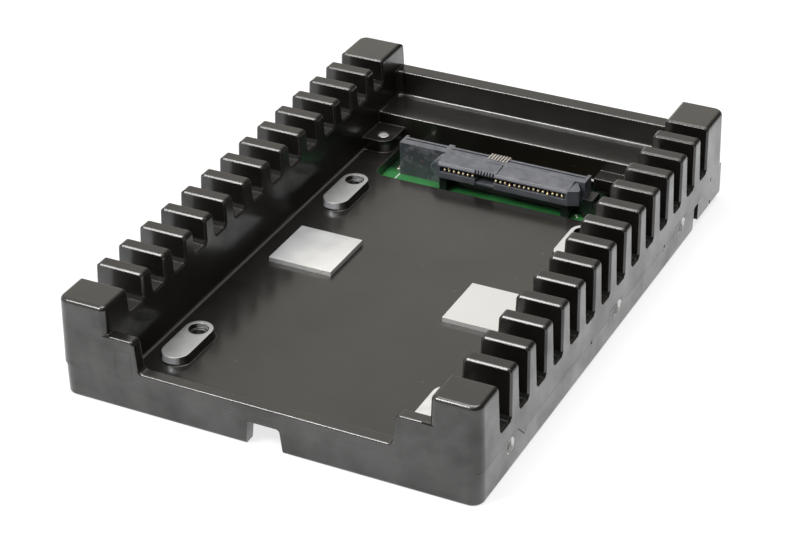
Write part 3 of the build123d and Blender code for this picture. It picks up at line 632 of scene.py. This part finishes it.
def satin_paint():
    """Satin black paint over the whole casting, but for its machined places."""
    material, tree, shader = new_material("satin_black_paint")
    where = position(tree)
    at = split(tree, where)
    facing = surface_facing(tree)
    dark_chips, bright_chips = chips(tree, at)
    bare = largest(tree, boss_mask(tree, at, facing), hole_mouth_mask(tree, at, facing), bright_chips)
    # Dull dark paint for the die's lines and the chips, and painted shade at the foot of the slots
    dull_and_shade = largest(tree, slot_foot_shade_mask(tree, at), scribed_lines(tree, at), dark_chips)

    # Painted highlight at the foot of the left wall
    tone = mix(tree, foot_highlight_mask(tree, at, facing), paint_tone(tree, where), FOOT_HIGHLIGHT)
    tone = mix(tree, dull_and_shade, tone, PAINT_DULL_AND_SHADE)
    tone = mix(tree, bare, tone, cut_metal(tree, where, at, facing))
    tree.links.new(tone, shader.inputs["Base Color"])
    tree.links.new(product(tree, bare, BARE_METAL), shader.inputs["Metallic"])

    rough = noise(tree, where, scale=240.0)
    rough = spread(tree, rough, 0.3, 0.7, PAINT_ROUGH - 0.03, PAINT_ROUGH + 0.05)
    rough = maths(tree, "MULTIPLY_ADD", dull_and_shade, DULL_ROUGH, rough)
    tree.links.new(rough, shader.inputs["Roughness"])
    shader.inputs["IOR"].default_value = PAINT_IOR
    shader.inputs["Specular IOR Level"].default_value = PAINT_SPECULAR

    coat = coat_weight(tree, where, at, facing, largest(tree, bare, dull_and_shade))
    tree.links.new(coat, shader.inputs["Coat Weight"])
    shader.inputs["Coat Roughness"].default_value = COAT_ROUGH
    shader.inputs["Coat IOR"].default_value = COAT_IOR

    peel = noise(tree, where, scale=700.0, detail=3.0, roughness=0.55)
    wave = noise(tree, where, scale=110.0, detail=2.0)
    height = maths(tree, "MULTIPLY_ADD", wave, 3.0, peel)
    bump(tree, shader, height, strength=0.08, depth=PAINT_GRAIN, bevel=PAINT_BEVEL)
    return material


# Other materials
def plain(name, tones, rough, metallic=0.0, coat=0.0, scale=500.0, strength=0.05, bevel=SMALL_BEVEL):
    """A material of two close tones with a fine grain."""
    material, tree, shader = new_material(name)
    where = position(tree)
    cloud = noise(tree, where, scale=scale, detail=4.0, roughness=0.55)
    tree.links.new(mix(tree, spread(tree, cloud, 0.3, 0.7), *tones), shader.inputs["Base Color"])
    fine = noise(tree, where, scale=scale * 2.0)
    tree.links.new(spread(tree, fine, 0.3, 0.7, rough - 0.05, rough + 0.07), shader.inputs["Roughness"])
    shader.inputs["Metallic"].default_value = metallic
    shader.inputs["Coat Weight"].default_value = coat
    shader.inputs["Coat Roughness"].default_value = COAT_ROUGH
    bump(tree, shader, noise(tree, where, scale=scale * 3.0), strength, bevel=bevel)
    return material


def plate_tone(tree, where, at, tone):
    """The left plate of the receptacle: darker, with dust in patches and reddish grit."""
    plate = product(tree, between(tree, at.x, *PLATE_XS), below(tree, at.y, PLATE_REAR))
    tone = mix(tree, product(tree, plate, PLATE_SHARE), tone, PLATE_TONE)
    dust = spread(tree, noise(tree, where, scale=380.0, detail=8.0, roughness=0.78), 0.50, 0.60)
    tone = mix(tree, product(tree, plate, dust, DUST_SHARE), tone, PLATE_DUST)
    grit = spread(tree, noise(tree, where, scale=1300.0, detail=1.0, roughness=0.3), 0.72, 0.75)
    return mix(tree, product(tree, plate, grit), tone, PLATE_GRIT)


def dusty_plastic():
    """Blue-grey moulding with dust on it, with painted shade under its lip and at its sheltered right end."""
    material, tree, shader = new_material("connector_plastic")
    where = position(tree)
    at = split(tree, where)
    cloud = noise(tree, where, scale=260.0, detail=4.0)
    tone = mix(tree, spread(tree, cloud, 0.3, 0.7), *PLASTIC)
    film = spread(tree, noise(tree, where, scale=330.0, detail=6.0, roughness=0.65), 0.42, 0.66)
    upward = spread(tree, surface_facing(tree).z, 0.4, 0.9)
    tone = mix(tree, product(tree, film, upward, FILM_SHARE), tone, PLASTIC_FILM)
    tone = plate_tone(tree, where, at, tone)
    # Painted highlight along the edges of the moulding
    rim_highlight = product(tree, edge_mask(tree, PLASTIC_RIM_RADIUS), RIM_HIGHLIGHT_SHARE)
    tone = mix(tree, rim_highlight, tone, PLASTIC_RIM_HIGHLIGHT)
    # Painted shade under the lip and at the sheltered right end
    under = product(tree, below(tree, at.z, SHELTER_TOP), between(tree, at.x, *SHELTER_XS))
    shaded = largest(tree, above(tree, at.x, SHELTER_END), under)
    tone = mix(tree, shaded, tone, PLASTIC_SHADE)
    tree.links.new(tone, shader.inputs["Base Color"])
    rough = spread(tree, noise(tree, where, scale=500.0), 0.3, 0.7, 0.34, 0.46)
    tree.links.new(rough, shader.inputs["Roughness"])
    shader.inputs["Coat Weight"].default_value = 0.35
    shader.inputs["Coat Roughness"].default_value = 0.25
    bump(tree, shader, noise(tree, where, scale=900.0), strength=0.10, bevel=PLASTIC_BEVEL)
    return material


def solder_mask():
    """Green lacquer, with painted shade where the plate and the shelf shelter the board."""
    material, tree, shader = new_material("board_green")
    where = position(tree)
    cloud = noise(tree, where, scale=400.0, detail=4.0, roughness=0.55)
    tone = mix(tree, spread(tree, cloud, 0.3, 0.7), *LACQUER)
    sheltered = spread(tree, split(tree, where).y, *LACQUER_SHADE_YS)
    tone = mix(tree, sheltered, tone, LACQUER_SHADE)
    tree.links.new(tone, shader.inputs["Base Color"])
    tree.links.new(spread(tree, cloud, 0.3, 0.7, 0.34, 0.44), shader.inputs["Roughness"])
    shader.inputs["Coat Weight"].default_value = 0.2
    bump(tree, shader, noise(tree, where, scale=900.0), strength=0.05)
    return material


def foil():
    """Smooth foil with a painted reflection: on the left pad it runs from dark at the upper left to light at
    the lower right in soft clouds, on the right pad it is an even light tone.
    """
    material, tree, shader = new_material("heat_pad")
    where = position(tree)
    at = split(tree, where)
    cloud = noise(tree, where, scale=75.0, detail=2.0, roughness=0.4)
    slope = maths(tree, "ADD", at.x, product(tree, at.y, FOIL_SLANT))
    clouded = spread(tree, cloud, 0.35, 0.65, -FOIL_CLOUD, FOIL_CLOUD)
    lit = maths(tree, "ADD", spread(tree, slope, *FOIL_SPAN), clouded)
    right = above(tree, at.x, FOIL_MIDDLE)
    tone = mix(tree, right, mix(tree, lit, *FOIL_LEFT_REFLECTION), FOIL_RIGHT_REFLECTION)
    tree.links.new(tone, shader.inputs["Base Color"])
    shader.inputs["Metallic"].default_value = FOIL_METAL
    tree.links.new(spread(tree, cloud, 0.3, 0.7, 0.24, 0.34), shader.inputs["Roughness"])
    bump(tree, shader, noise(tree, where, scale=160.0, detail=2.0), strength=0.05, bevel=FOIL_BEVEL)
    return material


paint = satin_paint()
lacquer = solder_mask()
connector_plastic = dusty_plastic()
pad_foil = foil()
carrier_plastic = plain(
    "carrier_plastic",
    ((0.010, 0.009, 0.008), (0.018, 0.017, 0.016)),
    rough=0.36,
    coat=0.9,
    scale=260.0,
    strength=0.1,
    bevel=0.1 * MM,
)
gold = plain("contact_gold", ((0.85, 0.60, 0.25), (0.95, 0.70, 0.33)), rough=0.22, metallic=1.0)
# A lighter, less metallic copy of the gold for the contact tips, as a painted highlight on them
lit_tip_gold = plain("lit_tip_gold", ((0.98, 0.78, 0.48), (1.0, 0.86, 0.60)), rough=0.34, metallic=0.45)
tin = plain("tinned_metal", ((0.80, 0.76, 0.70), (0.92, 0.88, 0.82)), rough=0.30, metallic=1.0, strength=0.08)
steel = plain(
    "steel_screw",
    ((0.74, 0.74, 0.73), (0.88, 0.88, 0.87)),
    rough=0.30,
    metallic=0.6,
    scale=400.0,
    strength=0.06,
    bevel=0.15 * MM,
)
thread_metal = plain(
    "thread_metal",
    ((0.84, 0.83, 0.82), (0.95, 0.94, 0.93)),
    rough=0.36,
    metallic=0.5,
    scale=400.0,
    strength=0.06,
)
print_white = plain("print_white", ((0.60, 0.66, 0.58), (0.72, 0.76, 0.70)), rough=0.60)

FINISHES = {
    "frame_casting": paint,
    "adapter_board": lacquer,
    "board_screws": steel,
    "connector_carrier": carrier_plastic,
    "thermal_pad_left": pad_foil,
    "thermal_pad_right": pad_foil,
    "receptacle_housing": connector_plastic,
    "receptacle_signal_contacts": gold,
    "receptacle_power_contacts": gold,
    "receptacle_second_port_contacts": gold,
    "receptacle_board_locks": tin,
    "plug_housing": connector_plastic,
    "plug_signal_contacts": gold,
    "plug_power_contacts": gold,
    "plug_board_locks": tin,
}


def finish_node(name, material):
    mesh = nodes[name].data
    if not mesh.materials:
        mesh.materials.append(material)
    for index in range(len(mesh.materials)):
        mesh.materials[index] = material


for name, material in FINISHES.items():
    finish_node(name, material)


# Pieces that the solids leave out
def new_piece(name, points, faces, material, smooth=False):
    mesh = bpy.data.meshes.new(name)
    mesh.from_pydata(points, [], faces)
    mesh.update()
    piece = bpy.data.objects.new(name, mesh)
    scene.collection.objects.link(piece)
    mesh.materials.append(material)
    for polygon in mesh.polygons:
        polygon.use_smooth = smooth
    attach(piece, "root")
    return piece


def swept(x, line, width, thickness, points, faces):
    """A flat strip along a line in the plane across x, added to the lists."""
    start = len(points)
    for index, (y, z) in enumerate(line):
        before = line[max(index - 1, 0)]
        after = line[min(index + 1, len(line) - 1)]
        run = Vector((after[0] - before[0], after[1] - before[1])).normalized()
        out = Vector((-run.y, run.x)) * thickness / 2
        for side, face in ((-1, -1), (1, -1), (1, 1), (-1, 1)):
            points.append((x + side * width / 2, y + face * out.x, z + face * out.y))
    for index in range(len(line) - 1):
        low = start + 4 * index
        for corner in range(4):
            other = (corner + 1) % 4
            faces.append((low + corner, low + other, low + 4 + other, low + 4 + corner))
    faces.append((start + 3, start + 2, start + 1, start))
    last = start + 4 * (len(line) - 1)
    faces.append((last, last + 1, last + 2, last + 3))


def bead(centre, radii, points, faces):
    """A smooth closed bead, added to the lists."""
    start = len(points)
    points.append((centre[0], centre[1], centre[2] - radii[2]))
    for ring in range(1, BEAD_UP):
        tilt = math.pi * ring / BEAD_UP
        for step in range(BEAD_AROUND):
            turn = 2 * math.pi * step / BEAD_AROUND
            points.append(
                (
                    centre[0] + radii[0] * math.sin(tilt) * math.cos(turn),
                    centre[1] + radii[1] * math.sin(tilt) * math.sin(turn),
                    centre[2] - radii[2] * math.cos(tilt),
                )
            )
    points.append((centre[0], centre[1], centre[2] + radii[2]))
    top = len(points) - 1
    for step in range(BEAD_AROUND):
        other = (step + 1) % BEAD_AROUND
        faces.append((start, start + 1 + other, start + 1 + step))
        faces.append((top, top - BEAD_AROUND + step, top - BEAD_AROUND + other))
        for ring in range(BEAD_UP - 2):
            low = start + 1 + ring * BEAD_AROUND
            high = low + BEAD_AROUND
            faces.append((low + step, low + other, high + other, high + step))


def make_contact_tips():
    """The rounded ends of the contacts, seen in the slot. The long ones come out further."""
    span = (SIGNAL_COUNT + POWER_COUNT - 2) * CONTACT_PITCH + SEGMENT_GAP
    first = RECEPTACLE_CENTRE - span / 2
    signal = [first + i * CONTACT_PITCH for i in range(SIGNAL_COUNT)]
    power = [signal[-1] + SEGMENT_GAP + i * CONTACT_PITCH for i in range(POWER_COUNT)]
    points, faces = [], []
    for x in signal:
        bead((x, *TIP_PLACE), TIP_RADII, points, faces)
    for index, x in enumerate(power):
        place = LONG_TIP_PLACE if index in LONG_CONTACTS else TIP_PLACE
        bead((x, *place), TIP_RADII, points, faces)
    new_piece("contact_tips", points, faces, lit_tip_gold, True)


def make_second_port_tails():
    """Seven tails that cross the top of the plate and bend down behind it."""
    level = TAIL_BEND_Z + TAIL_BEND_RADIUS
    line = [(TAIL_FRONT, level), (TAIL_MIDDLE, level)]
    for turn in TAIL_BEND_ANGLES:
        y = TAIL_BEND_Y + TAIL_BEND_RADIUS * math.sin(turn)
        z = TAIL_BEND_Z + TAIL_BEND_RADIUS * math.cos(turn)
        line.append((y, z))
    line.append((TAIL_BEND_Y + TAIL_BEND_RADIUS, TAIL_FOOT))
    points, faces = [], []
    for i in range(TAIL_COUNT):
        x = TAIL_CENTRE + (i - (TAIL_COUNT - 1) / 2) * TAIL_PITCH
        swept(x, line, TAIL_WIDTH, TAIL_THICKNESS, points, faces)
    piece = new_piece("second_port_tails", points, faces, tin)
    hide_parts("receptacle_second_port_contacts")


def thread(side, y, points, faces):
    """One ridge of thread wound inside a tapped hole in a side."""
    start = len(points)
    steps = THREAD_STEPS * THREAD_TURNS
    ridge = ((THREAD_HALF_WIDTH, THREAD_ROOT), (0.0, THREAD_CREST), (-THREAD_HALF_WIDTH, THREAD_ROOT))
    for step in range(steps + 1):
        turn = 2 * math.pi * step / THREAD_STEPS
        depth = THREAD_MOUTH - THREAD_PITCH * step / THREAD_STEPS
        for offset, radius in ridge:
            points.append(
                (
                    side * (depth + offset),
                    y + radius * math.cos(turn),
                    SIDE_HOLE_Z + radius * math.sin(turn),
                )
            )
    for step in range(steps):
        low = start + 3 * step
        for first, second in ((0, 1), (1, 2), (2, 0)):
            faces.append((low + first, low + second, low + 3 + second, low + 3 + first))
    last = start + 3 * steps
    faces.append((start + 2, start + 1, start))
    faces.append((last, last + 1, last + 2))


def make_threads():
    points, faces = [], []
    for side in (-1, 1):
        for y in SIDE_HOLE_YS:
            thread(side, y, points, faces)
    new_piece("side_hole_threads", points, faces, thread_metal, True)


def make_board_print():
    """The white printed lines beside the plate and in front of it."""
    points, faces = [], []
    side_line = [(y, SIDE_PRINT_Z) for y in SIDE_PRINT_YS]
    swept(SIDE_PRINT_X, side_line, SIDE_PRINT_WIDTH, SIDE_PRINT_THICKNESS, points, faces)
    front_line = [(y, FRONT_PRINT_Z) for y in FRONT_PRINT_YS]
    swept(FRONT_PRINT_X, front_line, FRONT_PRINT_WIDTH, FRONT_PRINT_THICKNESS, points, faces)
    new_piece("board_print", points, faces, print_white)


def make_solder_spots():
    """The solder at the feet of the receptacle."""
    points, faces = [], []
    for x, y, reach in SOLDER_SPOTS:
        bead((x, y, BOARD_TOP), (reach, reach * SOLDER_NARROW, SOLDER_HEIGHT), points, faces)
    new_piece("solder_spots", points, faces, tin, True)


def make_receptacle():
    """The receptacle's housing with its left wing drawn out to a low point."""
    piece = bpy.data.objects.new("receptacle_body", nodes["receptacle_housing"].data.copy())
    scene.collection.objects.link(piece)
    for vertex in piece.data.vertices:
        place = vertex.co
        out = (WING_ROOT - place.x) / WING_LENGTH
        if out <= 0.0 or place.x <= WING_END or place.y >= WING_REAR:
            continue
        if place.z > WING_TOP_FROM:
            vertex.co.z = WING_TOP - WING_FALL * out
        elif WING_BASE_ZS[0] < place.z < WING_BASE_ZS[1]:
            vertex.co.z = WING_BASE + WING_RISE * out
    piece.data.materials.clear()
    piece.data.materials.append(connector_plastic)
    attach(piece, "root")
    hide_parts("receptacle_housing")


make_contact_tips()
make_second_port_tails()
make_threads()
make_board_print()
make_solder_spots()
make_receptacle()


# Floor, lights and surroundings
def seen_rays(tree):
    """One for rays of the camera and of reflections, nought for the light on the object."""
    path = add(tree, "ShaderNodeLightPath")
    kinds = ("Is Camera Ray", "Is Glossy Ray", "Is Transmission Ray")
    return largest(tree, *(path.outputs[kind] for kind in kinds))


def choose(tree, factor, first, second):
    """The first shader where the factor is nought, the second where it is one."""
    node = add(tree, "ShaderNodeMixShader")
    for socket, value in zip(node.inputs, (factor, first, second)):
        tree.links.new(value, socket)
    return node.outputs[0]


def floor_material():
    """White for the eye with the object's shadow on it, and pale grey for the light."""
    material, tree, shader = new_material("pale_floor")
    shader.inputs["Base Color"].default_value = opaque(FLOOR_TONE)
    shader.inputs["Roughness"].default_value = FLOOR_ROUGH
    at = split(tree, position(tree))
    strength = spread(tree, at.y, *FLOOR_FADE, FLOOR_GLOW_FRONT, FLOOR_GLOW)
    far = spread(tree, off_axis(tree, at.x, 0.0, at.y, 0.0), *FLOOR_FAR)
    glow = add(tree, "ShaderNodeEmission")
    glow.inputs["Color"].default_value = opaque(WHITE)
    tree.links.new(largest(tree, strength, far), glow.inputs["Strength"])
    soft = add(tree, "ShaderNodeBsdfDiffuse")
    soft.inputs["Color"].default_value = opaque(FLOOR_SHADE)
    bright = add(tree, "ShaderNodeAddShader")
    tree.links.new(glow.outputs[0], bright.inputs[0])
    tree.links.new(soft.outputs[0], bright.inputs[1])
    either = choose(tree, seen_rays(tree), shader.outputs[0], bright.outputs[0])
    tree.links.new(either, tree.nodes["Material Output"].inputs["Surface"])
    return material


def make_floor():
    bpy.ops.mesh.primitive_plane_add(size=FLOOR_SIZE, location=(0.0, 0.0, 0.0))
    floor = bpy.context.object
    floor.name = "floor"
    floor.data.materials.append(floor_material())


def area_light(name, azimuth, elevation, distance, width, height, power):
    """A soft box that faces the object from the given direction."""
    flat = math.cos(math.radians(elevation))
    place = distance * Vector(
        (
            math.sin(math.radians(azimuth)) * flat,
            math.cos(math.radians(azimuth)) * flat,
            math.sin(math.radians(elevation)),
        )
    )
    data = bpy.data.lights.new(name, "AREA")
    data.shape = "RECTANGLE"
    data.size = width
    data.size_y = height
    data.energy = power
    light = bpy.data.objects.new(name, data)
    scene.collection.objects.link(light)
    light.location = place
    light.rotation_mode = "QUATERNION"
    light.rotation_quaternion = (-place).to_track_quat("-Z", "Y")


def backdrop(tree, colour, strength):
    """A background of one colour. The strength is a number or comes from other nodes."""
    node = add(tree, "ShaderNodeBackground")
    node.inputs["Color"].default_value = opaque(colour)
    if isinstance(strength, float):
        node.inputs["Strength"].default_value = strength
    else:
        tree.links.new(strength, node.inputs["Strength"])
    return node.outputs[0]


def make_world():
    """White behind the object, a light left and a dark right in reflections, and a soft even light."""
    world = bpy.data.worlds.new("world")
    scene.world = world
    world.use_nodes = True
    tree = world.node_tree
    across = split(tree, add(tree, "ShaderNodeTexCoord").outputs["Generated"]).x
    fade = spread(tree, across, -WORLD_FADE, WORLD_FADE, WORLD_LEFT, WORLD_RIGHT)
    even = backdrop(tree, WHITE, WORLD_LIGHT)
    seen = choose(tree, seen_rays(tree), even, backdrop(tree, WORLD_TINT, fade))
    camera_rays = add(tree, "ShaderNodeLightPath").outputs["Is Camera Ray"]
    behind = choose(tree, camera_rays, seen, backdrop(tree, WHITE, 1.0))
    tree.links.new(behind, tree.nodes["World Output"].inputs["Surface"])


place_camera()
make_floor()
make_world()
for light in LIGHTS:
    area_light(*light)
scene.view_settings.view_transform = "Standard"
